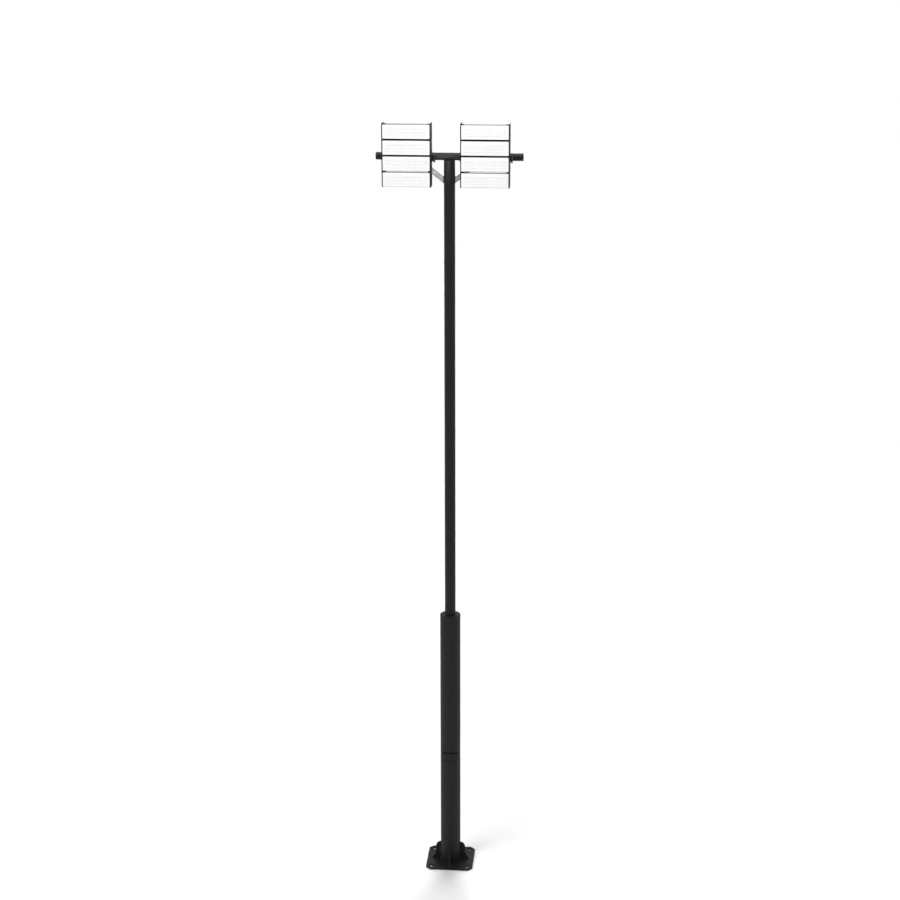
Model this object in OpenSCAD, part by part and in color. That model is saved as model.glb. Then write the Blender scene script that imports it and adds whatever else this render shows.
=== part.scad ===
// Floodlight column: a stepped round steel pole on a slotted flange, with a round crossarm,
// two square braces and two modular LED floodlights that tilt on the crossarm.
// Millimetres, +Z up, origin at the centre of the flange's underside, lamps facing -Y.

/* [Flange] */
// Side of the square flange plate
flange_w = 330; // [300:1:420]
// Thickness of the flange plate
flange_t = 12; // [8:0.5:25]
// Length cut off each side at a corner
flange_chamfer = 31; // [5:1:50]
// Distance from the middle of an anchor slot to the cut corner
slot_edge = 31.4; // [24:0.1:40]
// Width of an anchor slot
slot_w = 22; // [12:1:26]
// Length of an anchor slot, end to end
slot_l = 50; // [30:1:70]
// Diameter of the cable hole
cable_hole_d = 100; // [50:1:120]

/* [Gussets] */
// Thickness of a gusset
gusset_t = 8; // [5:0.5:14]
// Height of the gussets above the flange
gusset_h = 126; // [90:1:180]
// Width of a gusset's upright part
gusset_w = 33; // [18:1:40]
// Height above the flange at which a gusset starts to flare
gusset_flare_h = 66; // [30:1:80]
// How far the toe reaches past the upright part
gusset_flare = 30; // [10:1:36]
// Corner cut off a gusset over the tube's weld
gusset_cope = 10; // [4:0.5:16]

/* [Lower tube] */
// Outer diameter of the lower tube
base_tube_d = 140; // [130:0.5:160]
// Wall of the lower tube
base_tube_wall = 4; // [3:0.1:6]
// Height of the shoulder, where the column steps in
shoulder_z = 1886; // [1200:1:2400]
// Thickness of the shoulder ring
shoulder_t = 8; // [5:0.5:12]
// Chamfer round the shoulder ring
shoulder_chamfer = 2.5; // [0.5:0.1:4]
// Depth of the shoulder's socket inside the lower tube
socket_h = 90; // [40:1:200]
// Width of the lip that the shaft stands on in the socket
socket_lip = 6; // [3:0.5:10]

/* [Service hatch] */
// Height of the middle of the hatch cover
hatch_z = 827; // [500:1:1100]
// Height of the hatch cover
hatch_h = 58; // [40:1:200]
// Width of the hatch cover, across the front
hatch_w = 104; // [60:1:108]
// Corner radius of the hatch cover
hatch_r = 9; // [3:0.5:16]
// Finger gap over the hatch cover
hatch_top_gap = 11; // [6:0.5:16]
// Gap under the hatch cover
hatch_foot_gap = 4; // [1:0.5:6]
// Gap at each side of the hatch cover
hatch_side_gap = 1; // [0.5:0.1:2]
// How far the gasket reaches past the opening
gasket_lap = 6; // [3:0.5:8]
// Thickness of the gasket
gasket_t = 3; // [2:0.5:5]

/* [Shaft] */
// Outer diameter of the upper tube
shaft_d = 73; // [60:0.5:90]
// Wall of the upper tube
shaft_wall = 3.2; // [2.5:0.1:5]
// Height of the top of the column, where the crossarm lies
shaft_top_z = 5012; // [3500:1:6500]
// Thickness of the cap on the column
cap_t = 5; // [3:0.5:8]
// Depth of the cap's spigot inside the upper tube
cap_spigot_h = 15; // [8:1:30]

/* [Crossarm] */
// Outer diameter of the crossarm
arm_d = 48.3; // [44:0.1:60]
// Wall of the crossarm
arm_wall = 3.2; // [2:0.1:5]
// How far the crossarm reaches past the floodlights
arm_overhang = 70; // [30:1:150]
// Thickness of the discs that close the crossarm
arm_cap_t = 2; // [1.5:0.1:5]

/* [Braces] */
// Outside width of a brace tube
brace_w = 30; // [20:1:40]
// Wall of a brace tube
brace_wall = 2.5; // [1.5:0.1:4]
// How far under the column's top a brace's centre line meets the upper tube
brace_drop = 128; // [90:1:220]
// Distance from the column's axis to where a brace's centre line meets the crossarm
brace_reach = 204; // [160:1:260]
// Height of the collar at the foot of the braces
collar_h = 42; // [30:1:80]
// Wall of the collar
collar_wall = 4; // [2:0.5:8]

/* [Floodlight] */
// Gap between the two floodlights
flood_gap = 186; // [170:1:260]
// Width of a floodlight over its side plates
flood_w = 310; // [280:1:330]
// Distance from the crossarm's axis to the front edge of the side plates
flood_reach = 300; // [260:1:360]
// Height of a floodlight's middle over the crossarm's axis
flood_rise = 43; // [0:1:80]
// Depth of the side plates
side_d = 108; // [95:1:140]
// Thickness of the side plates
side_t = 4; // [2:0.5:5]
// Height by which a side plate stands past its end modules
side_margin = 4; // [0:0.5:10]
// Corner radius of the side plates
side_r = 12; // [4:0.5:25]
// Distance between the middles of two modules
module_pitch = 100; // [90:1:110]
// Height of a module
module_h = 92; // [75:1:94]
// Thickness of a module's lens plate
lens_t = 5; // [3:0.5:8]
// Corner radius of a lens plate
lens_r = 4; // [1:0.5:10]
// Width of the heat sink's rim that shows all round a lens plate
lens_rim = 2.2; // [0.5:0.1:5]
// How far a lens plate lies behind the side plates' front edges
lens_inset = 2.6; // [0:0.1:4]
// Thickness of a heat sink's slab
sink_slab_t = 6; // [4:0.5:10]
// Depth of a heat sink from its slab to the fin tips
fin_d = 43; // [25:1:50]
// Distance between two fins
fin_pitch = 10; // [8:0.5:16]
// Thickness of a fin at the slab
fin_root_t = 2.6; // [2:0.1:4]
// Thickness of a fin at its tip
fin_tip_t = 1.4; // [1:0.1:2]
// Width of the solid block at each end of a heat sink
sink_end_w = 20; // [12:1:30]

/* [Driver] */
// Height of the driver box's middle over the floodlight's middle
driver_rise = 92; // [70:1:110]
// Width of the driver box
driver_w = 250; // [180:1:264]
// Height of the driver box
driver_h = 78; // [50:1:100]
// Depth of the driver box
driver_d = 38; // [25:1:44]
// Edge chamfer of the driver box
driver_chamfer = 4; // [1:0.5:8]
// Height of the rail that carries the driver box
rail_h = 44; // [30:1:60]
// Thickness of the rail
rail_t = 3; // [2:0.5:5]
// Gap between the fin tips and the rail
rail_gap = 3; // [1:0.5:8]
// Length of the tabs at the rail's ends
rail_tab = 30; // [15:1:35]
// Diameter of the cable gland
gland_d = 20; // [12:1:25]
// Length of the cable gland
gland_l = 18; // [10:1:30]

/* [Tilt brackets] */
// Height of a bracket's plate where it lies on its side plate
bar_h = 40; // [30:1:44]
// Thickness of a bracket's plate
bar_t = 8; // [4:0.5:10]
// Length over which the plate lies on its side plate
bar_lap = 44; // [30:1:46]
// Corner radius of the plate's front end
bar_r = 8; // [3:0.5:14]
// Height of the middle of the plate's front end over the crossarm's axis
bar_rise = 22; // [0:1:45]
// Distance from the crossarm's axis to the plate's lowest corner
bar_knee = 98; // [70:1:150]
// Depth of the plate's lowest corner under the crossarm's axis
bar_drop = 26; // [16:1:30]
// Height of the plate's round rear end
bar_end_h = 30; // [20:1:36]
// Gap between the crossarm and the plate's rear end
bar_end_gap = 8; // [5:0.5:12]
// Depth of the bridge that joins the plate to its clamp
bridge_d = 17; // [10:0.5:19]
// Height of the bridge
bridge_h = 24; // [16:1:28]
// Distance from the side plate's outer face in to the clamp
clamp_inset = 18; // [4:1:30]
// Width of a clamp along the crossarm
clamp_w = 24; // [20:1:30]
// Wall of a clamp
clamp_wall = 4; // [3:0.5:8]
// Clearance between a clamp's bore and the crossarm
clamp_clearance = 0.06; // [0.02:0.01:0.1]
// Gap between a clamp's two ears
clamp_split = 5; // [3:0.5:8]
// Thickness of a clamp's ear
ear_t = 5; // [3:0.5:8]
// How far the ears reach past the clamp
ear_l = 20; // [12:1:26]

/* [Hidden] */
$fn = 96;
// Clearance left for a weld or a seat between two pieces of one body
seam = 0.2;
// Overshoot of a cutting solid past the face that it cuts
over = 1;
// Modules stacked in a floodlight, with a node for each one's heat sink and lens plate
modules = 4;

slot_r = (flange_w - flange_chamfer) / sqrt(2) - slot_edge;
base_tube_r = base_tube_d / 2;
base_bore_r = base_tube_r - base_tube_wall;
base_tube_top = shoulder_z - shoulder_t;
shaft_r = shaft_d / 2;
shaft_bore_r = shaft_r - shaft_wall;
shaft_foot_z = base_tube_top - socket_h + socket_lip;
shaft_top = shaft_top_z - cap_t;

hatch_open_low = hatch_z - hatch_h / 2 - hatch_foot_gap;
hatch_open_top = hatch_z + hatch_h / 2 + hatch_top_gap;
hatch_open_z = (hatch_open_low + hatch_open_top) / 2;
hatch_open_h = hatch_open_top - hatch_open_low;
hatch_open_w = hatch_w + 2 * hatch_side_gap;

flood_x = (flood_gap + flood_w) / 2;
arm_l = 2 * (flood_x + flood_w / 2 + arm_overhang);
arm_r = arm_d / 2;
arm_z = shaft_top_z + seam + arm_r;
collar_r = shaft_r + seam + collar_wall;
brace_foot_z = shaft_top_z - brace_drop;
brace_rise = arm_z - arm_r - brace_foot_z;
brace_angle = atan2(brace_rise, brace_reach - shaft_r);
collar_z = brace_foot_z + collar_wall * tan(brace_angle);

inner_w = flood_w - 2 * side_t;
face_y = -flood_reach;
lens_y = face_y + lens_inset;
slab_y = lens_y + lens_t;
fin_y = slab_y + sink_slab_t;
fin_tip_y = fin_y + fin_d;
side_back_y = face_y + side_d;
side_h = (modules - 1) * module_pitch + module_h + 2 * side_margin;
fin_field = inner_w - 2 * seam - 2 * sink_end_w;
fin_gaps = round(fin_field / fin_pitch);
rail_y = fin_tip_y + rail_gap;
driver_y = rail_y + rail_t;
driver_z = flood_rise + driver_rise;
bar_front_y = side_back_y - bar_lap;
bar_end_y = -arm_r - bar_end_gap;
clamp_bore_r = arm_r + clamp_clearance;
clamp_r = clamp_bore_r + clamp_wall;

// ---- Shared shapes ----

// A rectangle about the origin with round corners
module rounded_rect(w, h, r) {
    square([w - 2 * r, h], center = true);
    square([w, h - 2 * r], center = true);
    for (x = [-1, 1], y = [-1, 1])
        translate([x * (w / 2 - r), y * (h / 2 - r)])
            circle(r);
}

// A tube that stands on z = low
module pipe(r, bore_r, low, top) {
    translate([0, 0, low])
        linear_extrude(top - low)
            difference() {
                circle(r);
                circle(bore_r);
            }
}

// A straight cut through the front of the lower tube, w wide and h high
module front_window(w, h, r, z) {
    translate([0, 0, z])
        rotate([90, 0, 0])
            linear_extrude(base_tube_r + over)
                rounded_rect(w, h, r);
}

// ---- Base ----

module anchor_slot() {
    square([slot_w, slot_l - slot_w], center = true);
    for (y = [-1, 1])
        translate([0, y * (slot_l - slot_w) / 2])
            circle(slot_w / 2);
}

module base_plate() {
    half = flange_w / 2;
    cut = half - flange_chamfer;
    color("#2c2c2e")
        linear_extrude(flange_t)
            difference() {
                polygon([
                    [half, -cut], [half, cut], [cut, half], [-cut, half],
                    [-half, cut], [-half, -cut], [-cut, -half], [cut, -half]
                ]);
                circle(cable_hole_d / 2);
                for (turn = [45:90:315])
                    rotate(turn)
                        translate([slot_r, 0])
                            anchor_slot();
            }
}

// Outline of a gusset: x outwards from the column's axis, y up from the flange
module gusset_outline() {
    steps = 8;
    nose_r = gusset_w;
    edge_x = base_tube_r + gusset_w;
    flare = [for (i = [0:steps])
        [edge_x + gusset_flare * pow(i / steps, 2), gusset_flare_h * (1 - i / steps)]];
    nose = [for (i = [0:steps])
        [base_tube_r + nose_r * sin(90 * i / steps), gusset_h - nose_r * (1 - cos(90 * i / steps))]];
    cope = base_tube_r + gusset_cope;
    difference() {
        polygon(concat([[0, 0], [0, gusset_h]], nose, flare));
        polygon([[0, 0], [cope, 0], [0, cope]]);
    }
}

module gusset(turn) {
    color("#2c2c2e")
        rotate(turn)
            difference() {
                translate([0, gusset_t / 2, flange_t])
                    rotate([90, 0, 0])
                        linear_extrude(gusset_t)
                            gusset_outline();
                translate([0, 0, -over])
                    cylinder(r = base_tube_r + seam, h = flange_t + gusset_h + 2 * over);
            }
}

module gusset_right() { gusset(0); }
module gusset_back() { gusset(90); }
module gusset_left() { gusset(180); }
module gusset_front() { gusset(270); }

// ---- Lower tube and hatch ----

module lower_tube() {
    color("#2c2c2e")
        difference() {
            pipe(base_tube_r, base_bore_r, flange_t, base_tube_top);
            front_window(hatch_open_w, hatch_open_h, hatch_r + hatch_side_gap, hatch_open_z);
        }
}

module hatch_cover() {
    color("#303032")
        intersection() {
            pipe(base_tube_r, base_bore_r, hatch_z - hatch_h, hatch_z + hatch_h);
            front_window(hatch_w, hatch_h, hatch_r, hatch_z);
        }
}

// Rubber plate behind the hatch opening, which the cover is screwed down on
module hatch_gasket() {
    gasket_r = base_bore_r - seam;
    gasket_h = hatch_open_h + 2 * gasket_lap;
    color("#101010")
        intersection() {
            pipe(gasket_r, gasket_r - gasket_t, hatch_open_z - gasket_h, hatch_open_z + gasket_h);
            front_window(hatch_open_w + 2 * gasket_lap, gasket_h, hatch_r + gasket_lap, hatch_open_z);
        }
}

// ---- Shoulder and shaft ----

// Turned ring that closes the lower tube and holds the shaft in a socket
module shoulder_ring() {
    socket_r = base_bore_r - seam;
    seat_r = shaft_r + seam;
    foot_z = base_tube_top - socket_h;
    color("#2c2c2e")
        rotate_extrude()
            polygon([
                [seat_r, shoulder_z],
                [base_tube_r - shoulder_chamfer, shoulder_z],
                [base_tube_r, shoulder_z - shoulder_chamfer],
                [base_tube_r, base_tube_top],
                [socket_r, base_tube_top],
                [socket_r, foot_z],
                [shaft_bore_r, foot_z],
                [shaft_bore_r, shaft_foot_z],
                [seat_r, shaft_foot_z]
            ]);
}

module upper_tube() {
    color("#2c2c2e")
        pipe(shaft_r, shaft_bore_r, shaft_foot_z, shaft_top);
}

module column_cap() {
    spigot_r = shaft_bore_r - seam;
    color("#2c2c2e")
        rotate_extrude()
            polygon([
                [0, shaft_top_z],
                [shaft_r, shaft_top_z],
                [shaft_r, shaft_top],
                [spigot_r, shaft_top],
                [spigot_r, shaft_top - cap_spigot_h],
                [0, shaft_top - cap_spigot_h]
            ]);
}

// ---- Crossarm and braces ----

module along_arm(x) {
    translate([x, 0, arm_z])
        rotate([0, 90, 0])
            children();
}

module crossarm() {
    color("#2c2c2e")
        along_arm(-arm_l / 2)
            linear_extrude(arm_l)
                difference() {
                    circle(arm_r);
                    circle(arm_r - arm_wall);
                }
}

module crossarm_cap(side) {
    color("#232325")
        along_arm(side * (arm_l + arm_cap_t) / 2)
            cylinder(r = arm_r, h = arm_cap_t, center = true);
}

module crossarm_cap_left() { crossarm_cap(-1); }
module crossarm_cap_right() { crossarm_cap(1); }

module brace_collar() {
    color("#232325")
        pipe(collar_r, shaft_r + seam, collar_z - collar_h / 2, collar_z + collar_h / 2);
}

// Square tube with both ends cut to the round tubes that it meets
module brace_right() {
    length = 2 * (brace_rise + arm_d) / sin(brace_angle);
    color("#b9bbbd")
        difference() {
            intersection() {
                translate([shaft_r, 0, brace_foot_z])
                    rotate([0, -brace_angle, 0])
                        rotate([0, 90, 0])
                            linear_extrude(length, center = true)
                                difference() {
                                    square(brace_w, center = true);
                                    square(brace_w - 2 * brace_wall, center = true);
                                }
                translate([0, -brace_w, brace_foot_z - length])
                    cube([2 * brace_reach, 2 * brace_w, arm_z - brace_foot_z + length]);
            }
            cylinder(r = collar_r + seam, h = arm_z);
            along_arm(0)
                cylinder(r = arm_r + seam, h = 2 * brace_reach);
        }
}

module brace_left() {
    mirror([1, 0, 0])
        brace_right();
}

// ---- Floodlights: x from the floodlight's middle, y and z from the crossarm's axis ----

module at_flood(side) {
    translate([side * flood_x, 0, arm_z])
        children();
}

// Extrudes an outline drawn in y and z along x, from x = low
module extrude_x(low, width) {
    translate([low, 0, 0])
        rotate([90, 0, 90])
            linear_extrude(width)
                children();
}

// Height of a module's middle; module 1 is the top one
function module_z(index) = flood_rise + ((modules + 1) / 2 - index) * module_pitch;

// Lower x of a slice that starts near from the floodlight's middle, on the side that face gives
function slice_low(face, near, width) = face > 0 ? near : -near - width;

module side_plate(side, face) {
    color("#1f1f21")
        at_flood(side)
            extrude_x(slice_low(face, inner_w / 2, side_t), side_t)
                translate([face_y + side_d / 2, flood_rise])
                    rounded_rect(side_d, side_h, side_r);
}

// One fin, drawn with its root on y = 0 and its tip at fin_d
module fin_outline() {
    polygon([
        [-fin_root_t / 2, -over], [fin_root_t / 2, -over],
        [fin_root_t / 2, 0], [fin_tip_t / 2, fin_d],
        [-fin_tip_t / 2, fin_d], [-fin_root_t / 2, 0]
    ]);
}

// Cross-section of the heat sink's extrusion: slab, end blocks and fins
module sink_outline() {
    half = inner_w / 2 - seam;
    translate([-half, slab_y])
        square([2 * half, sink_slab_t]);
    for (end = [-half, half - sink_end_w])
        translate([end, slab_y])
            square([sink_end_w, sink_slab_t + fin_d]);
    for (i = [1:fin_gaps - 1])
        translate([(i / fin_gaps - 1 / 2) * fin_field, fin_y])
            fin_outline();
}

module heat_sink(side, index) {
    color("#161617")
        at_flood(side)
            translate([0, 0, module_z(index) - module_h / 2])
                linear_extrude(module_h)
                    sink_outline();
}

module lens_plate(side, index) {
    color("white")
        at_flood(side)
            translate([0, slab_y - seam, module_z(index)])
                rotate([90, 0, 0])
                    linear_extrude(lens_t - seam)
                        rounded_rect(inner_w - 2 * (seam + lens_rim), module_h - 2 * lens_rim, lens_r);
}

// Rail behind the fins, with a tab bent back along each side plate
module driver_rail(side) {
    half = inner_w / 2 - seam;
    color("#1f1f21")
        at_flood(side)
            translate([0, 0, driver_z - rail_h / 2])
                linear_extrude(rail_h)
                    union() {
                        translate([-half, rail_y])
                            square([2 * half, rail_t]);
                        for (tab = [-half, half - rail_t])
                            translate([tab, rail_y])
                                square([rail_t, rail_tab]);
                    }
}

module driver_box(side) {
    far = driver_d - driver_chamfer;
    half = driver_w / 2;
    color("#3a3a3c")
        at_flood(side)
            translate([0, driver_y + seam, driver_z]) {
                translate([0, 0, -driver_h / 2])
                    linear_extrude(driver_h)
                        polygon([
                            [-half, 0], [half, 0], [half, far],
                            [half - driver_chamfer, driver_d],
                            [driver_chamfer - half, driver_d], [-half, far]
                        ]);
                translate([half / 2, driver_d / 2, -driver_h / 2 - gland_l])
                    cylinder(d = gland_d, h = gland_l + over);
            }
}

// Outline of a bracket's plate, from its round rear end forwards to its lap on the side plate
module bar_outline() {
    half = bar_h / 2;
    end_r = bar_end_h / 2;
    translate([bar_end_y - end_r, 0])
        circle(end_r);
    polygon([
        [bar_end_y - end_r, -end_r], [-bar_knee, -bar_drop], [side_back_y, bar_rise - half],
        [side_back_y, bar_rise + half], [bar_end_y - end_r, end_r]
    ]);
    translate([side_back_y - bar_lap / 2 + bar_r, bar_rise])
        rounded_rect(bar_lap + 2 * bar_r, bar_h, bar_r);
}

// Plate bolted on the outside of a side plate, with a bridge inwards to a split clamp round the crossarm
module bracket(side, face) {
    clamp_far = flood_w / 2 - clamp_inset;
    clamp_near = clamp_far - clamp_w;
    bar_near = flood_w / 2 + seam;
    clamp_x = slice_low(face, clamp_near, clamp_w);
    ear_far = clamp_r + ear_l;
    color("#1f1f21")
        at_flood(side)
            difference() {
                union() {
                    extrude_x(clamp_x, clamp_w)
                        circle(clamp_r);
                    extrude_x(clamp_x, clamp_w)
                        translate([bar_end_y - bridge_d, -bridge_h / 2])
                            square([bridge_d - bar_end_y, bridge_h]);
                    extrude_x(clamp_x, clamp_w)
                        translate([0, -clamp_split / 2 - ear_t])
                            square([ear_far, clamp_split + 2 * ear_t]);
                    extrude_x(slice_low(face, clamp_near, bar_near - clamp_near + bar_t / 2),
                              bar_near - clamp_near + bar_t / 2)
                        translate([bar_end_y - bridge_d, -bridge_h / 2])
                            square([bridge_d, bridge_h]);
                    extrude_x(slice_low(face, bar_near, bar_t), bar_t)
                        bar_outline();
                }
                extrude_x(clamp_x - over, clamp_w + 2 * over)
                    circle(clamp_bore_r);
                extrude_x(clamp_x - over, clamp_w + 2 * over)
                    translate([0, -clamp_split / 2])
                        square([ear_far + over, clamp_split]);
            }
}

module left_side_plate_inner() { side_plate(-1, 1); }
module left_side_plate_outer() { side_plate(-1, -1); }
module left_heat_sink_1() { heat_sink(-1, 1); }
module left_heat_sink_2() { heat_sink(-1, 2); }
module left_heat_sink_3() { heat_sink(-1, 3); }
module left_heat_sink_4() { heat_sink(-1, 4); }
module left_lens_plate_1() { lens_plate(-1, 1); }
module left_lens_plate_2() { lens_plate(-1, 2); }
module left_lens_plate_3() { lens_plate(-1, 3); }
module left_lens_plate_4() { lens_plate(-1, 4); }
module left_driver_rail() { driver_rail(-1); }
module left_driver_box() { driver_box(-1); }
module left_bracket_inner() { bracket(-1, 1); }
module left_bracket_outer() { bracket(-1, -1); }

module right_side_plate_inner() { side_plate(1, -1); }
module right_side_plate_outer() { side_plate(1, 1); }
module right_heat_sink_1() { heat_sink(1, 1); }
module right_heat_sink_2() { heat_sink(1, 2); }
module right_heat_sink_3() { heat_sink(1, 3); }
module right_heat_sink_4() { heat_sink(1, 4); }
module right_lens_plate_1() { lens_plate(1, 1); }
module right_lens_plate_2() { lens_plate(1, 2); }
module right_lens_plate_3() { lens_plate(1, 3); }
module right_lens_plate_4() { lens_plate(1, 4); }
module right_driver_rail() { driver_rail(1); }
module right_driver_box() { driver_box(1); }
module right_bracket_inner() { bracket(1, -1); }
module right_bracket_outer() { bracket(1, 1); }

base_plate();
gusset_front();
gusset_back();
gusset_left();
gusset_right();
lower_tube();
hatch_cover();
hatch_gasket();
shoulder_ring();
upper_tube();
column_cap();
crossarm();
crossarm_cap_left();
crossarm_cap_right();
brace_collar();
brace_left();
brace_right();
left_side_plate_inner();
left_side_plate_outer();
left_heat_sink_1();
left_heat_sink_2();
left_heat_sink_3();
left_heat_sink_4();
left_lens_plate_1();
left_lens_plate_2();
left_lens_plate_3();
left_lens_plate_4();
left_driver_rail();
left_driver_box();
left_bracket_inner();
left_bracket_outer();
right_side_plate_inner();
right_side_plate_outer();
right_heat_sink_1();
right_heat_sink_2();
right_heat_sink_3();
right_heat_sink_4();
right_lens_plate_1();
right_lens_plate_2();
right_lens_plate_3();
right_lens_plate_4();
right_driver_rail();
right_driver_box();
right_bracket_inner();
right_bracket_outer();
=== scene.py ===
# %% [markdown]
# # Dressing a floodlight column
#
# The model is a street-furniture classic: a stepped steel column, bolted down by a ribbed flange,
# with a braced crossarm and two LED floodlights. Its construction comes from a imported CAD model,
# so this lesson never moves or resizes a part. It gives every surface its real finish, grows the
# small things that repeat, such as lens domes, screws and weld ripples, and sets up a plain studio
# around the column.

import math

import bmesh
import bpy
from mathutils import Matrix, Vector


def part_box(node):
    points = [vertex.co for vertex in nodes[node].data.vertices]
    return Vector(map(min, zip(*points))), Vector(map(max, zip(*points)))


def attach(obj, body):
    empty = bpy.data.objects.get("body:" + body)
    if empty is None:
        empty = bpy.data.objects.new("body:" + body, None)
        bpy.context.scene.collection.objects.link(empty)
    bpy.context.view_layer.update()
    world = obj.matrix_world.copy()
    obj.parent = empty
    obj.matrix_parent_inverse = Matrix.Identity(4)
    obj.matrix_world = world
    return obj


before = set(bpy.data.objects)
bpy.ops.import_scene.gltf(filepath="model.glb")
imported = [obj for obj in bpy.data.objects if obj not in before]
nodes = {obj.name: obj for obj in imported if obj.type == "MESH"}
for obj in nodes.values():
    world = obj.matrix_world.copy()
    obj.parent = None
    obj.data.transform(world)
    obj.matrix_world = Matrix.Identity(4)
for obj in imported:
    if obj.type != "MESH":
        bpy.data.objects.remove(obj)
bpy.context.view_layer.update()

# %% [markdown]
# ## The camera
#
# A tall thin object distorts badly in a wide lens, so it is taken from twelve metres away with a
# lens of 76 mm. The camera stands higher than the floodlights and looks down, a little to the
# right of the column's front. Its position is built from a bearing and a distance, because those
# are the two numbers that one wants to turn when framing a shot.

# %% Place the camera
CAMERA_DISTANCE = 12.23
CAMERA_HEIGHT = 6.764
CAMERA_BEARING = math.radians(5.04)
CAMERA_TILT = math.radians(16.816)
CAMERA_ROLL = math.radians(-0.1)
CAMERA_LENS_MM = 76.06

camera_data = bpy.data.cameras.new("studio_camera")
camera_data.lens = CAMERA_LENS_MM
camera_data.sensor_width = 36.0
camera_data.clip_end = 500.0
camera = bpy.data.objects.new("studio_camera", camera_data)
bpy.context.scene.collection.objects.link(camera)
camera.matrix_world = (
    Matrix.Rotation(CAMERA_BEARING, 4, "Z")
    @ Matrix.Translation((0.0, -CAMERA_DISTANCE, CAMERA_HEIGHT))
    @ Matrix.Rotation(math.pi / 2 - CAMERA_TILT, 4, "X")
    @ Matrix.Rotation(CAMERA_ROLL, 4, "Z")
)
bpy.context.scene.camera = camera
print("camera at", [round(value, 3) for value in camera.location])

# %% [markdown]
# ## Colours and nodes
#
# Colours are noted as the sRGB hex values that a paint chart would give, and one function turns
# them into the linear numbers that the renderer works with. A second small function adds a node,
# sets it up and wires it, so that each material below reads as a short recipe. A pattern's scale
# is always worked out from the real size of its grain in millimetres.


# %% Helpers for colour and nodes
MM = 0.001


def linear(hex_colour):
    channels = [int(hex_colour[start:start + 2], 16) / 255 for start in (1, 3, 5)]
    return [c / 12.92 if c <= 0.04045 else ((c + 0.055) / 1.055) ** 2.4 for c in channels] + [1.0]


def add_node(tree, kind, inputs=None, **settings):
    node = tree.nodes.new(kind)
    for name, value in settings.items():
        setattr(node, name, value)
    for key, value in (inputs or {}).items():
        if isinstance(value, bpy.types.NodeSocket):
            tree.links.new(value, node.inputs[key])
        else:
            node.inputs[key].default_value = value
    return node


def start_material(name, **sockets):
    material = bpy.data.materials.new(name)
    material.use_nodes = True
    tree = material.node_tree
    surface = tree.nodes["Principled BSDF"]
    for socket, value in sockets.items():
        surface.inputs[socket.replace("_", " ")].default_value = value
    place = add_node(tree, "ShaderNodeTexCoord").outputs["Object"]
    return material, tree, surface, place


def per_metre(size_mm):
    return 1 / (size_mm * MM)


print(f"mid grey, #808080, is {linear('#808080')[0]:.3f} in linear light")

# %% [markdown]
# ## Black powder coat on steel
#
# The column is galvanised, then coated with black polyester powder, which is sprayed on dry and
# melted in an oven. As it flows it keeps a fine orange peel, about 3 mm from crest to crest, and a
# satin sheen. The steel itself never shows, so the material is a plain dielectric. Two close
# blacks are mixed over a hand's breadth, as the film is never equally thick.


# %% Powder coat
CLOUD_MM = 120
SHEEN_SPREAD = 0.05


def powder_coat(name, dark, light, roughness, peel_mm, specular):
    material, tree, surface, place = start_material(name, Specular_IOR_Level=specular)
    cloud = add_node(tree, "ShaderNodeTexNoise", {
        "Vector": place, "Scale": per_metre(CLOUD_MM), "Detail": 4.0})
    tone = add_node(tree, "ShaderNodeMix", {
        0: cloud.outputs["Fac"], 6: linear(dark), 7: linear(light)}, data_type="RGBA")
    tree.links.new(tone.outputs[2], surface.inputs["Base Color"])
    sheen = add_node(tree, "ShaderNodeMapRange", {
        "Value": cloud.outputs["Fac"], "From Min": 0.3, "From Max": 0.7,
        "To Min": roughness - SHEEN_SPREAD, "To Max": roughness + SHEEN_SPREAD})
    tree.links.new(sheen.outputs["Result"], surface.inputs["Roughness"])
    peel = add_node(tree, "ShaderNodeTexNoise", {
        "Vector": place, "Scale": per_metre(peel_mm), "Detail": 1.0})
    relief = add_node(tree, "ShaderNodeBump", {
        "Height": peel.outputs["Fac"], "Strength": 0.25, "Distance": 0.2 * MM})
    tree.links.new(relief.outputs["Normal"], surface.inputs["Normal"])
    return material


column_coat = powder_coat("black_polyester_powder_coat", "#131314", "#171719",
                          roughness=0.55, peel_mm=3.0, specular=0.20)
sheet_coat = powder_coat("black_coated_sheet_steel", "#0b0b0c", "#0f0f10",
                         roughness=0.50, peel_mm=2.2, specular=0.14)
driver_coat = powder_coat("graphite_coated_die_casting", "#232325", "#29292b",
                          roughness=0.60, peel_mm=2.5, specular=0.25)
print("powder coats:", column_coat.name, sheet_coat.name, driver_coat.name)

# %% [markdown]
# ## Anodised aluminium
#
# The heat sinks are extrusions, pressed through a die and then anodised black. The die leaves
# hair-fine lines along the fins, which the oxide film keeps. A noise stretched along Z by fifty to
# one draws those lines, and they reach the roughness as well as the bump, so they glint at a low
# angle.


# %% Anodised extrusion
def anodised_extrusion():
    material, tree, surface, place = start_material(
        "black_anodised_aluminium", Base_Color=linear("#0f0f10"), Specular_IOR_Level=0.14)
    stretch = add_node(tree, "ShaderNodeMapping", {"Vector": place, "Scale": (1.0, 1.0, 0.02)})
    lines = add_node(tree, "ShaderNodeTexNoise", {
        "Vector": stretch.outputs["Vector"], "Scale": per_metre(1.5), "Detail": 2.0})
    gloss = add_node(tree, "ShaderNodeMapRange", {
        "Value": lines.outputs["Fac"], "To Min": 0.55, "To Max": 0.75})
    tree.links.new(gloss.outputs["Result"], surface.inputs["Roughness"])
    relief = add_node(tree, "ShaderNodeBump", {
        "Height": lines.outputs["Fac"], "Strength": 0.2, "Distance": 0.1 * MM})
    tree.links.new(relief.outputs["Normal"], surface.inputs["Normal"])
    return material


anodised = anodised_extrusion()
print(f"{anodised.name}: {len(anodised.node_tree.nodes)} nodes")

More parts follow.
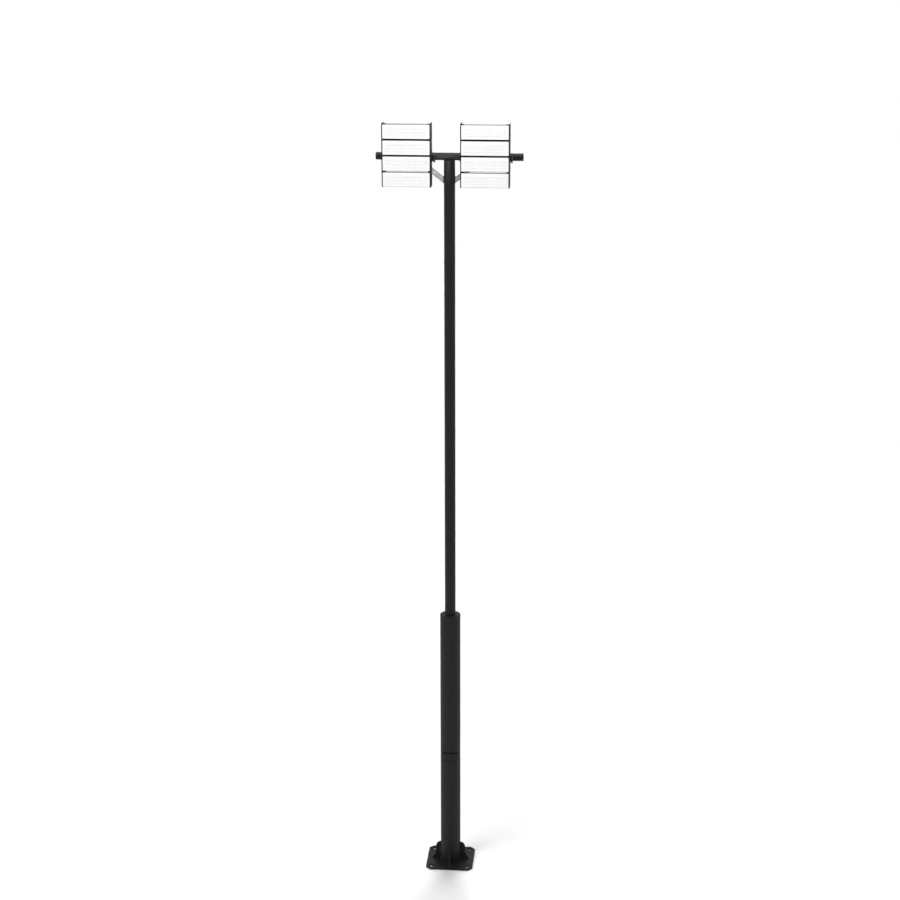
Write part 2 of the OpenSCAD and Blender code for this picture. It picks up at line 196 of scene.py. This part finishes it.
# %% [markdown]
# ## Hot-dip galvanised steel
#
# The braces are left in bare zinc. When a tube is lifted from the bath the zinc freezes in
# crystals, the spangle, each with its own tilt and so its own grey. Voronoi cells 9 mm across
# stand for the crystals: their random colour shifts both the tone and the roughness, and a fine
# noise breaks up their edges.


# %% Galvanised zinc
def galvanised_zinc():
    material, tree, surface, place = start_material("hot_dip_galvanised_steel", Metallic=1.0)
    grain = add_node(tree, "ShaderNodeTexNoise", {
        "Vector": place, "Scale": per_metre(4), "Detail": 3.0})
    wander = add_node(tree, "ShaderNodeVectorMath", {
        0: grain.outputs["Color"], 1: (3 * MM, 3 * MM, 3 * MM)}, operation="MULTIPLY")
    bent = add_node(tree, "ShaderNodeVectorMath", {
        0: place, 1: wander.outputs["Vector"]}, operation="ADD")
    spangle = add_node(tree, "ShaderNodeTexVoronoi", {
        "Vector": bent.outputs["Vector"], "Scale": per_metre(9)})
    crystal = add_node(tree, "ShaderNodeSeparateColor", {"Color": spangle.outputs["Color"]})
    tone = add_node(tree, "ShaderNodeMix", {
        0: crystal.outputs["Red"], 6: linear("#797b7c"), 7: linear("#949596")}, data_type="RGBA")
    tree.links.new(tone.outputs[2], surface.inputs["Base Color"])
    gloss = add_node(tree, "ShaderNodeMapRange", {
        "Value": crystal.outputs["Green"], "To Min": 0.38, "To Max": 0.58})
    tree.links.new(gloss.outputs["Result"], surface.inputs["Roughness"])
    relief = add_node(tree, "ShaderNodeBump", {
        "Height": grain.outputs["Fac"], "Strength": 0.15, "Distance": 0.2 * MM})
    tree.links.new(relief.outputs["Normal"], surface.inputs["Normal"])
    return material


zinc = galvanised_zinc()
print(f"{zinc.name}: {len(zinc.node_tree.nodes)} nodes")

# %% [markdown]
# ## Lens sheet and rubber
#
# The face of each module is one moulding of white-backed polycarbonate, and its lamps are lit: a
# little emission lifts it to the white of the studio without flattening the relief of its domes.
# The gasket is EPDM rubber, which is dead matt. Its black is darker than the coat's, and that
# extra darkness is painted shade: the gasket backs the finger gap at the hatch, and it makes the
# gap look nearly black.


# %% Lens sheet and gasket rubber
def lit_lens_sheet():
    material, tree, surface, place = start_material(
        "lit_polycarbonate_lens_sheet", Roughness=0.28, IOR=1.58,
        Emission_Color=linear("#ffffff"), Emission_Strength=0.05)
    haze = add_node(tree, "ShaderNodeTexNoise", {
        "Vector": place, "Scale": per_metre(40), "Detail": 3.0})
    tone = add_node(tree, "ShaderNodeMix", {
        0: haze.outputs["Fac"], 6: linear("#f1f2f2"), 7: linear("#f6f6f5")}, data_type="RGBA")
    tree.links.new(tone.outputs[2], surface.inputs["Base Color"])
    return material


# The rubber's black is darker than the coat's: painted shade, so the hatch's finger gap, which this
# rubber backs, looks nearly black.
def epdm_rubber_and_gap_shade():
    material, tree, surface, place = start_material(
        "epdm_rubber_and_gap_shade", Base_Color=linear("#0b0b0b"), Roughness=0.85, Specular_IOR_Level=0.2)
    skin = add_node(tree, "ShaderNodeTexNoise", {
        "Vector": place, "Scale": per_metre(1.2), "Detail": 2.0})
    relief = add_node(tree, "ShaderNodeBump", {
        "Height": skin.outputs["Fac"], "Strength": 0.3, "Distance": 0.1 * MM})
    tree.links.new(relief.outputs["Normal"], surface.inputs["Normal"])
    return material


lens_sheet = lit_lens_sheet()
rubber_and_gap_shade = epdm_rubber_and_gap_shade()
print("mouldings:", lens_sheet.name, rubber_and_gap_shade.name)

# %% [markdown]
# ## Stainless steel and black plastic
#
# The screws are A2 stainless steel, turned and then tumbled, so they are a bright metal with a
# soft blur. Those in the black sheets are chemically blackened. The caps and glands are moulded
# polyethylene, whose fine moulded grain is close enough to orange peel for the same recipe.


# %% Screws, caps and glands
def tumbled_stainless(name, colour, smoothest, dullest):
    material, tree, surface, place = start_material(
        name, Base_Color=linear(colour), Metallic=1.0)
    dents = add_node(tree, "ShaderNodeTexNoise", {
        "Vector": place, "Scale": per_metre(2), "Detail": 2.0})
    gloss = add_node(tree, "ShaderNodeMapRange", {
        "Value": dents.outputs["Fac"], "To Min": smoothest, "To Max": dullest})
    tree.links.new(gloss.outputs["Result"], surface.inputs["Roughness"])
    return material


stainless = tumbled_stainless("tumbled_stainless_steel", "#cfcdc9", 0.25, 0.42)
blackened = tumbled_stainless("blackened_stainless_steel", "#3a3a3b", 0.40, 0.57)
black_plastic = powder_coat("moulded_black_polyethylene", "#0e0e0f", "#121213",
                            roughness=0.62, peel_mm=1.0, specular=0.3)
print("hardware:", stainless.name, blackened.name, black_plastic.name)

# %% [markdown]
# ## Dressing the CAD parts
#
# Each part of the frame takes its finish from what it is made of. The rule is a short list of name
# fragments, read from top to bottom, and whatever matches nothing is part of the coated column.

# %% Give each CAD part its material
FINISHES = [
    ("gasket", rubber_and_gap_shade),
    ("crossarm_cap", black_plastic),
    ("lens_plate", lens_sheet),
    ("heat_sink", anodised),
    ("driver_box", driver_coat),
    ("brace_collar", column_coat),
    ("brace_", zinc),
    ("side_plate", sheet_coat),
    ("driver_rail", sheet_coat),
    ("bracket", sheet_coat),
]

for name, part in nodes.items():
    finish = next((material for fragment, material in FINISHES if fragment in name), column_coat)
    part.data.materials.clear()
    part.data.materials.append(finish)
print("dressed", len(nodes), "parts")

# %% [markdown]
# ## Growing what repeats
#
# Lens domes, screws and weld ripples all follow one idea: a small mesh is set on many points, and
# each point says which way its copy faces. One Geometry Nodes tree does that for the domes and the
# fasteners. It takes the shape, its size and a material as named inputs, reads the facing from an
# attribute, and ends in Realize Instances and Set Material, so that what comes out is an ordinary
# mesh.


# %% The tree that sets shapes on points
def start_tree(name, inputs, output):
    """An empty Geometry Nodes tree, and the sockets of its named inputs."""
    tree = bpy.data.node_groups.new(name, "GeometryNodeTree")
    for title, kind in inputs.items():
        tree.interface.new_socket(title, in_out="INPUT", socket_type=f"NodeSocket{kind}")
    tree.interface.new_socket(output, in_out="OUTPUT", socket_type="NodeSocketGeometry")
    return tree, add_node(tree, "NodeGroupInput").outputs


def end_tree(tree, copies, finish, output):
    solid = add_node(tree, "GeometryNodeRealizeInstances", {
        "Geometry": copies.outputs["Instances"]})
    coated = add_node(tree, "GeometryNodeSetMaterial", {
        "Geometry": solid.outputs["Geometry"], "Material": finish})
    add_node(tree, "NodeGroupOutput", {output: coated.outputs["Geometry"]})
    print(f"{tree.name}: {len(tree.nodes)} nodes")
    return tree


def copies_tree():
    tree, given = start_tree("copies_on_points", {
        "Points": "Geometry", "Shape": "Object", "Size": "Float", "Finish": "Material"}, "Pieces")
    shape = add_node(tree, "GeometryNodeObjectInfo", {"Object": given["Shape"]})
    facing = add_node(tree, "GeometryNodeInputNamedAttribute", {"Name": "facing"},
                      data_type="FLOAT_VECTOR")
    along = add_node(tree, "GeometryNodeInputNamedAttribute", {"Name": "along"},
                     data_type="FLOAT_VECTOR")
    upright = add_node(tree, "FunctionNodeAlignRotationToVector", {
        "Vector": facing.outputs["Attribute"]}, axis="Z")
    swung = add_node(tree, "FunctionNodeAlignRotationToVector", {
        "Rotation": upright.outputs["Rotation"], "Vector": along.outputs["Attribute"]},
        axis="X", pivot_axis="Z")
    copies = add_node(tree, "GeometryNodeInstanceOnPoints", {
        "Points": given["Points"], "Instance": shape.outputs["Geometry"],
        "Rotation": swung.outputs["Rotation"], "Scale": given["Size"]})
    return end_tree(tree, copies, given["Finish"], "Pieces")


COPIES = copies_tree()

# %% [markdown]
# A tree is only a recipe. To get a piece, it goes on a mesh of points as a modifier, its inputs
# are set by their identifiers, and the evaluated result is kept as a plain mesh. Then the modifier
# is removed, and the piece rides on a body of the frame.


# %% Turn points into a piece
def make_piece(name, mesh, tree, inputs, body):
    piece = bpy.data.objects.new(name, mesh)
    bpy.context.scene.collection.objects.link(piece)
    modifier = piece.modifiers.new(tree.name, "NODES")
    modifier.node_group = tree
    for item in tree.interface.items_tree:
        if item.in_out == "INPUT" and item.name in inputs:
            modifier[item.identifier] = inputs[item.name]
    evaluated = piece.evaluated_get(bpy.context.evaluated_depsgraph_get())
    solid = bpy.data.meshes.new_from_object(evaluated)
    piece.modifiers.clear()
    piece.data = solid
    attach(piece, body)
    print(f"{name}: {len(solid.polygons)} faces on {body}")


def grow(name, spots, shape, material, body):
    """Copies shape to each spot, a (point, facing, along) triple, as one mesh on body."""
    points = bpy.data.meshes.new(name)
    points.from_pydata([spot[0] for spot in spots], [], [])
    for title, column in (("facing", 1), ("along", 2)):
        layer = points.attributes.new(title, "FLOAT_VECTOR", "POINT")
        layer.data.foreach_set("vector", [value for spot in spots for value in spot[column]])
    inputs = {"Shape": shape, "Size": 1.0, "Finish": material}
    make_piece(name, points, COPIES, inputs, body)


# %% [markdown]
# ## Turned shapes
#
# Screw heads, washers and lens domes are all bodies of revolution. A short outline in millimetres
# is spun round Z. The spin starts from an outline and closes on itself, so the doubles at the seam
# and at the poles are merged before the normals are set outwards. A head or a dome is open
# underneath, where it sits on its part. Such a shell has no clear inside, and a flat rim can fool
# the recalculation, so its faces are turned over if on the whole they look down.


# %% Make a turned shape
MERGE_DISTANCE = 1e-6
DOWNWARD_AREA = 1e-7


def turned(name, outline_mm, sides, smooth=True):
    mesh = bpy.data.meshes.new(name)
    shape = bmesh.new()
    ring = [shape.verts.new((r * MM, 0.0, z * MM)) for r, z in outline_mm]
    edges = [shape.edges.new(pair) for pair in zip(ring, ring[1:])]
    bmesh.ops.spin(shape, geom=ring + edges, axis=(0, 0, 1), cent=(0, 0, 0), steps=sides,
                   angle=2 * math.pi)
    bmesh.ops.remove_doubles(shape, verts=shape.verts, dist=MERGE_DISTANCE)
    bmesh.ops.recalc_face_normals(shape, faces=shape.faces)
    if sum(face.normal.z * face.calc_area() for face in shape.faces) < -DOWNWARD_AREA:
        bmesh.ops.reverse_faces(shape, faces=shape.faces)
    for face in shape.faces:
        face.smooth = smooth
    shape.to_mesh(mesh)
    shape.free()
    print(f"{name}: {len(mesh.polygons)} faces")
    return bpy.data.objects.new(name, mesh)


# %% [markdown]
# ## Lens domes
#
# Behind each white face sit rows of light-emitting diodes, each under its own small dome. The
# domes stand on the lens plate and stay behind the front edges of the side plates, which guard
# them. Their rows are worked out from the plate, so that a rim of at least 7 mm is left all round.

# %% Domes on every lens plate
DOME_R_MM = 7.5
DOME_RISE_MM = 2.4
DOME_SKIRT_MM = 0.6
DOME_PITCH = 0.0205
DOME_RIM = 0.007
MODULES = range(1, 5)
SIDES = ("left", "right")
FRONT = Vector((0, -1, 0))
RIGHT = Vector((1, 0, 0))

dome_outline = [
    (DOME_R_MM * math.cos(turn), DOME_RISE_MM * math.sin(turn))
    for turn in (math.radians(15 * step) for step in range(7))
]
lens_dome = turned("lens_dome", [(DOME_R_MM + DOME_SKIRT_MM, 0.0)] + dome_outline, 14)


def dome_spots(plate):
    low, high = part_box(plate)
    columns = int((high.x - low.x - 2 * DOME_RIM) / DOME_PITCH)
    rows = int((high.z - low.z - 2 * DOME_RIM) / DOME_PITCH)
    middle = (low + high) / 2
    return [
        (Vector((middle.x + (column - (columns - 1) / 2) * DOME_PITCH, low.y,
                 middle.z + (row - (rows - 1) / 2) * DOME_PITCH)), FRONT, RIGHT)
        for column in range(columns) for row in range(rows)
    ]


for side in SIDES:
    spots = [spot for index in MODULES for spot in dome_spots(f"{side}_lens_plate_{index}")]
    grow(f"{side}_lens_domes", spots, lens_dome, lens_sheet, f"{side}_flood")

# %% [markdown]
# ## Screws and bolts
#
# Three kinds of fastener hold a floodlight together. Button-head screws go through the side plates
# into the end blocks of the heat sinks, one for each module at each end. Two hexagon bolts at each
# end hold the plate of a tilt bracket against the outside of the side plate, with a washer under
# each head; they are blackened, so that they do not glint beside the lens. Behind the lamp, each
# clamp on the crossarm is pinched by a bolt through its two ears, and that bolt is what the fitter
# loosens to aim the lamp. All are turned or hexagonal shapes of about a hundred faces at most,
# because they repeat.


# %% Make the fasteners
CHAMFER_MM = 0.6
CHAMFER_RISE_MM = 0.9


def hexagon(name, across_mm, height_mm):
    corner = across_mm / 2 / math.cos(math.pi / 6)
    outline = [(corner, 0.0), (corner, height_mm - CHAMFER_RISE_MM),
               (across_mm / 2 - CHAMFER_MM, height_mm), (0.0, height_mm)]
    return turned(name, outline, 6, smooth=False)


button_head = turned("button_head", [
    (4.8, -0.5), (4.8, 0.3), (4.5, 1.3), (3.6, 2.2), (2.3, 2.75), (1.6, 2.75), (1.5, 1.4),
    (0.0, 1.4)], 16)
washer = turned("washer", [
    (4.5, 0.0), (8.0, 0.0), (8.0, 1.6), (4.5, 1.6), (4.5, 0.0)], 20, smooth=False)
bolt_head = hexagon("bolt_head", 13.0, 5.3)
bolt_nut = hexagon("bolt_nut", 13.0, 6.5)
bolt_end = turned("bolt_end", [(3.9, 0.0), (3.9, 9.4), (3.3, 10.2), (0.0, 10.2)], 16)

# %% [markdown]
# Every fastener's place is worked out from the parts that it joins. The inner side plate of the
# left floodlight looks to the right and that of the right floodlight to the left, so one small
# function gives the outward direction, and the rest follows from the boxes of the parts. What the
# boxes can't tell is listed: how far the screws and bolts stand from the edges, how far a
# bracket reaches inwards to the middle of its clamp, and how far apart the clamp's ears are.


# %% Find the places of the screws and bolts
UP = Vector((0, 0, 1))
FACES = ("inner", "outer")
SCREW_BACK = 0.010
SCREW_DROP = 0.020
BOLT_DROPS = (0.010, 0.030)


def outward(side, face):
    return Vector((1.0 if (side == "right") == (face == "outer") else -1.0, 0.0, 0.0))


def outer_x(part, direction):
    low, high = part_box(part)
    return high.x if direction.x > 0 else low.x


def plate_screw_spots(side):
    spots = []
    for face in FACES:
        way = outward(side, face)
        plate_x = outer_x(f"{side}_side_plate_{face}", way)
        for index in MODULES:
            low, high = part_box(f"{side}_heat_sink_{index}")
            middle = (low + high) / 2
            place = Vector((plate_x, middle.y + SCREW_BACK, middle.z - SCREW_DROP))
            spots.append((place, way, UP))
    return spots


def bracket_bolt_spots(side, lift):
    spots = []
    for face in FACES:
        way = outward(side, face)
        bracket_x = outer_x(f"{side}_bracket_{face}", way)
        plate_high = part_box(f"{side}_side_plate_{face}")[1]
        bracket_low, bracket_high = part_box(f"{side}_bracket_{face}")
        lap_y = (plate_high.y + bracket_low.y) / 2
        for drop in BOLT_DROPS:
            place = Vector((bracket_x, lap_y, bracket_high.z - drop))
            spots.append((place + way * lift, way, UP))
    return spots


print("screw heights:", [round(spot[0].z, 3) for spot in plate_screw_spots("left")[4:]])

# %% [markdown]
# A pinch bolt stands upright behind the crossarm, in the middle of its clamp. Its head lies on the
# upper ear and its nut under the lower one, so each place is given twice, once looking up and once
# looking down.


# %% Find the places of the pinch bolts
DOWN = Vector((0, 0, -1))
CLAMP_MIDDLE = 0.0382
PINCH_INSET = 0.010
EAR_FACE = 0.0075


def pinch_spots(side, facing, lift):
    arm_low, arm_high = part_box("crossarm")
    spots = []
    for face in FACES:
        way = outward(side, face)
        clamp_x = outer_x(f"{side}_bracket_{face}", way) - way.x * CLAMP_MIDDLE
        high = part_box(f"{side}_bracket_{face}")[1]
        place = Vector((clamp_x, high.y - PINCH_INSET, (arm_low.z + arm_high.z) / 2))
        spots.append((place + facing * (EAR_FACE + lift), facing, RIGHT))
    return spots


print("left clamps at x =", [round(spot[0].x, 3) for spot in pinch_spots("left", UP, 0.0)])

# %% [markdown]
# With the places known, each kind of fastener grows as one piece for each floodlight. A washer lies
# on the face itself, and a head or a nut sits on its washer.

# %% Set the fasteners
WASHER_T = 0.0016
for side in SIDES:
    body = f"{side}_flood"
    grow(f"{side}_plate_screws", plate_screw_spots(side), button_head, blackened, body)
    grow(f"{side}_bar_washers", bracket_bolt_spots(side, 0.0), washer, blackened, body)
    grow(f"{side}_bar_bolts", bracket_bolt_spots(side, WASHER_T), bolt_head, blackened, body)
    grow(f"{side}_pinch_washers", pinch_spots(side, UP, 0.0) + pinch_spots(side, DOWN, 0.0),
         washer, stainless, body)
    for kind, shape, facing in (("heads", bolt_head, UP), ("nuts", bolt_nut, DOWN),
                                ("ends", bolt_end, DOWN)):
        grow(f"{side}_pinch_{kind}", pinch_spots(side, facing, WASHER_T), shape, stainless, body)

# %% [markdown]
# ## The driver box
#
# The driver box is a die casting with a lid. Six small screws pull the lid down on its seal, and
# the supply enters through a ribbed cable gland underneath, whose cap nut is turned by hand: the
# ribs give the grip. All three shapes are turned like the fasteners.

# %% Make the lid's screws and the gland's details
lid_screw = turned("lid_screw", [
    (3.4, -0.2), (3.4, 0.5), (3.0, 1.0), (1.3, 1.2), (1.2, 0.5), (0.0, 0.5)], 14)
gland_rib = turned("gland_rib", [(0.0, -5.5), (0.9, -4.7), (0.9, 4.7), (0.0, 5.5)], 6)
gland_plug = turned("gland_plug", [
    (8.8, -0.3), (8.8, 0.9), (7.8, 1.8), (5.0, 2.4), (0.0, 2.5)], 24)

# %% [markdown]
# The box of the part runs from the gland's lower end to the lid's upper edge, so the sizes of the
# gland are given. The lid's screws are set out in what is left above it, in two rows of
# three, with the outer columns a little inside the lid's edges.

# %% Set them on each driver box
BACK = Vector((0, 1, 0))
LID_EDGE = 0.008
LID_COLUMNS = (-0.93, 0.0, 0.93)
GLAND_R = 0.010
GLAND_L = 0.018
GRIP_MIDDLE = 0.0075
RIBS = 20

for side in SIDES:
    body = f"{side}_flood"
    low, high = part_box(f"{side}_driver_box")
    middle_x = (low.x + high.x) / 2
    half_x = high.x - middle_x - LID_EDGE
    lid_low = low.z + GLAND_L
    lid = [
        (Vector((middle_x + x * half_x, high.y, z)), BACK, RIGHT)
        for x in LID_COLUMNS for z in (lid_low + LID_EDGE, high.z - LID_EDGE)
    ]
    gland = Vector(((middle_x + high.x) / 2, (low.y + high.y) / 2, low.z))
    grips = [
        (gland + Vector((GLAND_R * math.cos(turn), GLAND_R * math.sin(turn), GRIP_MIDDLE)),
         UP, RIGHT)
        for turn in (2 * math.pi * step / RIBS for step in range(RIBS))
    ]
    grow(f"{side}_lid_screws", lid, lid_screw, stainless, body)
    grow(f"{side}_gland_ribs", grips, gland_rib, black_plastic, body)
    grow(f"{side}_gland_plug", [(gland, DOWN, RIGHT)], gland_plug, black_plastic, body)

# %% [markdown]
# ## Weld beads
#
# The column is a welded piece. A weld bead is a row of small overlapping ripples, one for each dab
# of the torch, so a second tree follows a path: it turns the edges of a mesh into curves, steps
# along them at the ripple's pitch, and sets a flattened ripple square to the path at each step.
# Under powder coat the ripples are soft, and they only show as a fine broken line in the corners.


# %% The tree that lays a weld along a path
def bead_tree():
    tree, given = start_tree("weld_along_path", {
        "Path": "Geometry", "Ripple": "Object", "Pitch": "Float", "Finish": "Material"}, "Bead")
    curve = add_node(tree, "GeometryNodeMeshToCurve", {"Mesh": given["Path"]})
    steps = add_node(tree, "GeometryNodeCurveToPoints", {
        "Curve": curve.outputs["Curve"], "Length": given["Pitch"]}, mode="LENGTH")
    ripple = add_node(tree, "GeometryNodeObjectInfo", {"Object": given["Ripple"]})
    copies = add_node(tree, "GeometryNodeInstanceOnPoints", {
        "Points": steps.outputs["Points"], "Instance": ripple.outputs["Geometry"],
        "Rotation": steps.outputs["Rotation"]})
    return end_tree(tree, copies, given["Finish"], "Bead")


BEADS = bead_tree()
RIPPLE_FLATNESS = 0.65


def weld_ripple(name, leg_mm):
    outline = [
        (leg_mm * math.sin(turn), -RIPPLE_FLATNESS * leg_mm * math.cos(turn))
        for turn in (math.radians(30 * step) for step in range(7))
    ]
    return turned(name, outline, 10)


def lay_weld(name, paths, ripple, pitch):
    """One mesh of weld ripples on the mast, along open paths, each a list of points."""
    edges = []
    start = 0
    for path in paths:
        edges += [(start + step, start + step + 1) for step in range(len(path) - 1)]
        start += len(path)
    mesh = bpy.data.meshes.new(name)
    mesh.from_pydata([point for path in paths for point in path], edges, [])
    inputs = {"Ripple": ripple, "Pitch": pitch, "Finish": column_coat}
    make_piece(name, mesh, BEADS, inputs, "mast")


# %% [markdown]
# The paths come from the parts. A gusset is welded on both sides, up the tube and out along the
# flange, and each run starts a little clear of the corner and ends short of the gusset's tip. The
# tube has a ring weld on the flange between the gussets.


# %% Weld the foot of the column
RING_STEPS = 24
RING_GAP = 0.006
CORNER_CLEAR = 0.010
TOE_SHORT = 0.004
TOP_SHORT = 0.002
FINE_PITCH = 0.0026

tube_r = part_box("lower_tube")[1].x
flange_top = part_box("base_plate")[1].z
gusset_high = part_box("gusset_right")[1]
gusset_half = gusset_high.y
gusset_gap = math.asin((gusset_half + RING_GAP) / tube_r)
ring_turn = math.pi / 2 - 2 * gusset_gap


def gusset_runs(edge):
    wall_x = math.sqrt(tube_r ** 2 - edge ** 2)
    foot = [Vector((tube_r + CORNER_CLEAR, edge, flange_top)),
            Vector((gusset_high.x - TOE_SHORT, edge, flange_top))]
    wall = [Vector((wall_x, edge, flange_top + CORNER_CLEAR)),
            Vector((wall_x, edge, gusset_high.z - TOP_SHORT))]
    return [foot, wall]


ring = [
    Vector((tube_r * math.cos(turn), tube_r * math.sin(turn), flange_top))
    for turn in (gusset_gap + ring_turn * step / RING_STEPS for step in range(RING_STEPS + 1))
]
quarter_paths = [ring] + gusset_runs(-gusset_half) + gusset_runs(gusset_half)
base_paths = []
for quarter in range(4):
    turn = Matrix.Rotation(quarter * math.pi / 2, 3, "Z")
    base_paths += [[turn @ point for point in path] for path in quarter_paths]
lay_weld("base_welds", base_paths, weld_ripple("fine_ripple", 2.9), FINE_PITCH)

# %% [markdown]
# The crossarm rests on the column's cap along a line, so a broader bead on each side of that line
# fills the wedge between the round tube and the flat cap.

# %% Weld the crossarm to the cap
SADDLE_Y = 0.0145
SADDLE_HALF = 0.031
SADDLE_RISE = 0.0015
BROAD_PITCH = 0.0036

saddle_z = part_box("column_cap")[1].z + SADDLE_RISE
saddle_paths = [
    [Vector((-SADDLE_HALF, y, saddle_z)), Vector((SADDLE_HALF, y, saddle_z))]
    for y in (-SADDLE_Y, SADDLE_Y)
]
lay_weld("saddle_welds", saddle_paths, weld_ripple("broad_ripple", 4.8), BROAD_PITCH)

# %% [markdown]
# ## The studio
#
# The column stands on a white floor that runs out to the horizon, under an even white sky: that is
# how a product cut-out is lit, and it gives black paint its bright rims. The camera and every
# reflection see the sky at full white, while the sky lights the scene at about a seventh of that.
# The floor is white paper with a trace of glow that only the camera and reflections see.


# %% Floor and sky
FLOOR_HALF = 200.0
FLOOR_LIFT = 0.045
SKY_LIGHT = 0.15


def seen_not_lit(tree):
    """Is 1 where the camera, a reflection or a view through glass looks, and 0 for other light."""
    ray = add_node(tree, "ShaderNodeLightPath").outputs
    seen = add_node(tree, "ShaderNodeMath", {
        0: ray["Is Camera Ray"], 1: ray["Is Glossy Ray"]}, operation="MAXIMUM")
    through = add_node(tree, "ShaderNodeMath", {
        0: seen.outputs[0], 1: ray["Is Transmission Ray"]}, operation="MAXIMUM")
    return through.outputs[0]


def studio_floor():
    corners = ((-1, -1), (1, -1), (1, 1), (-1, 1))
    mesh = bpy.data.meshes.new("studio_floor")
    mesh.from_pydata([(x * FLOOR_HALF, y * FLOOR_HALF, 0.0) for x, y in corners], [],
                     [(0, 1, 2, 3)])
    floor = bpy.data.objects.new("studio_floor", mesh)
    bpy.context.scene.collection.objects.link(floor)
    material = bpy.data.materials.new("white_studio_floor")
    material.use_nodes = True
    tree = material.node_tree
    tree.nodes.clear()
    lift = add_node(tree, "ShaderNodeMath", {
        0: seen_not_lit(tree), 1: FLOOR_LIFT}, operation="MULTIPLY")
    glow = add_node(tree, "ShaderNodeEmission", {"Strength": lift.outputs[0]})
    paper = add_node(tree, "ShaderNodeBsdfDiffuse", {"Color": linear("#f8f8f8")})
    both = add_node(tree, "ShaderNodeAddShader", {0: paper.outputs[0], 1: glow.outputs[0]})
    add_node(tree, "ShaderNodeOutputMaterial", {"Surface": both.outputs[0]})
    mesh.materials.append(material)


def studio_sky():
    world = bpy.data.worlds.new("studio_sky")
    world.use_nodes = True
    tree = world.node_tree
    level = add_node(tree, "ShaderNodeMapRange", {
        "Value": seen_not_lit(tree), "To Min": SKY_LIGHT, "To Max": 1.0})
    backdrop = tree.nodes["Background"]
    backdrop.inputs["Color"].default_value = (1.0, 1.0, 1.0, 1.0)
    tree.links.new(level.outputs["Result"], backdrop.inputs["Strength"])
    bpy.context.scene.world = world


studio_floor()
studio_sky()

# %% [markdown]
# The rest of the light comes from two soft suns, one from behind and one from the front left, and
# those cast the shadow at the foot of the flange. They are kept out of mirror reflections, as a
# real studio flag would do, or else they would draw a burnt line down the black tubes. A softbox
# above the head brightens the tops of the crossarm and the floodlights. Two small lamps hang
# between the floodlights, behind their lenses, where they model the round crossarm and the top of
# the column without washing out the dark joints between the modules.


# %% Lamps and suns
def soft_lamp(name, place, target, width, power):
    lamp = bpy.data.lights.new(name, "AREA")
    lamp.shape = "DISK"
    lamp.size = width
    lamp.energy = power
    holder = bpy.data.objects.new(name, lamp)
    holder.visible_camera = False
    bpy.context.scene.collection.objects.link(holder)
    aim = (Vector(target) - Vector(place)).to_track_quat("-Z", "Y")
    holder.matrix_world = Matrix.Translation(place) @ aim.to_matrix().to_4x4()


def soft_sun(name, bearing, elevation, spread, strength):
    lamp = bpy.data.lights.new(name, "SUN")
    lamp.angle = math.radians(spread)
    lamp.energy = strength
    holder = bpy.data.objects.new(name, lamp)
    holder.visible_glossy = False
    bpy.context.scene.collection.objects.link(holder)
    holder.rotation_euler = (math.radians(90 - elevation), 0.0, math.radians(bearing))


soft_lamp("overhead_softbox", (0.0, -0.3, 6.7), (0.0, -0.1, 5.0), width=1.4, power=42.0)
soft_lamp("arm_lamp", (-0.05, -0.17, 5.05), (0.0, 0.0, 5.02), width=0.10, power=0.32)
soft_lamp("pole_lamp", (-0.08, -0.20, 4.94), (0.0, 0.0, 4.93), width=0.06, power=0.16)
soft_sun("back_light", bearing=180.0, elevation=38.0, spread=34.0, strength=2.95)
soft_sun("left_light", bearing=-40.0, elevation=30.0, spread=38.0, strength=1.85)
bpy.context.scene.view_settings.view_transform = "Standard"
print("lights:", ", ".join(lamp.name for lamp in bpy.data.lights))
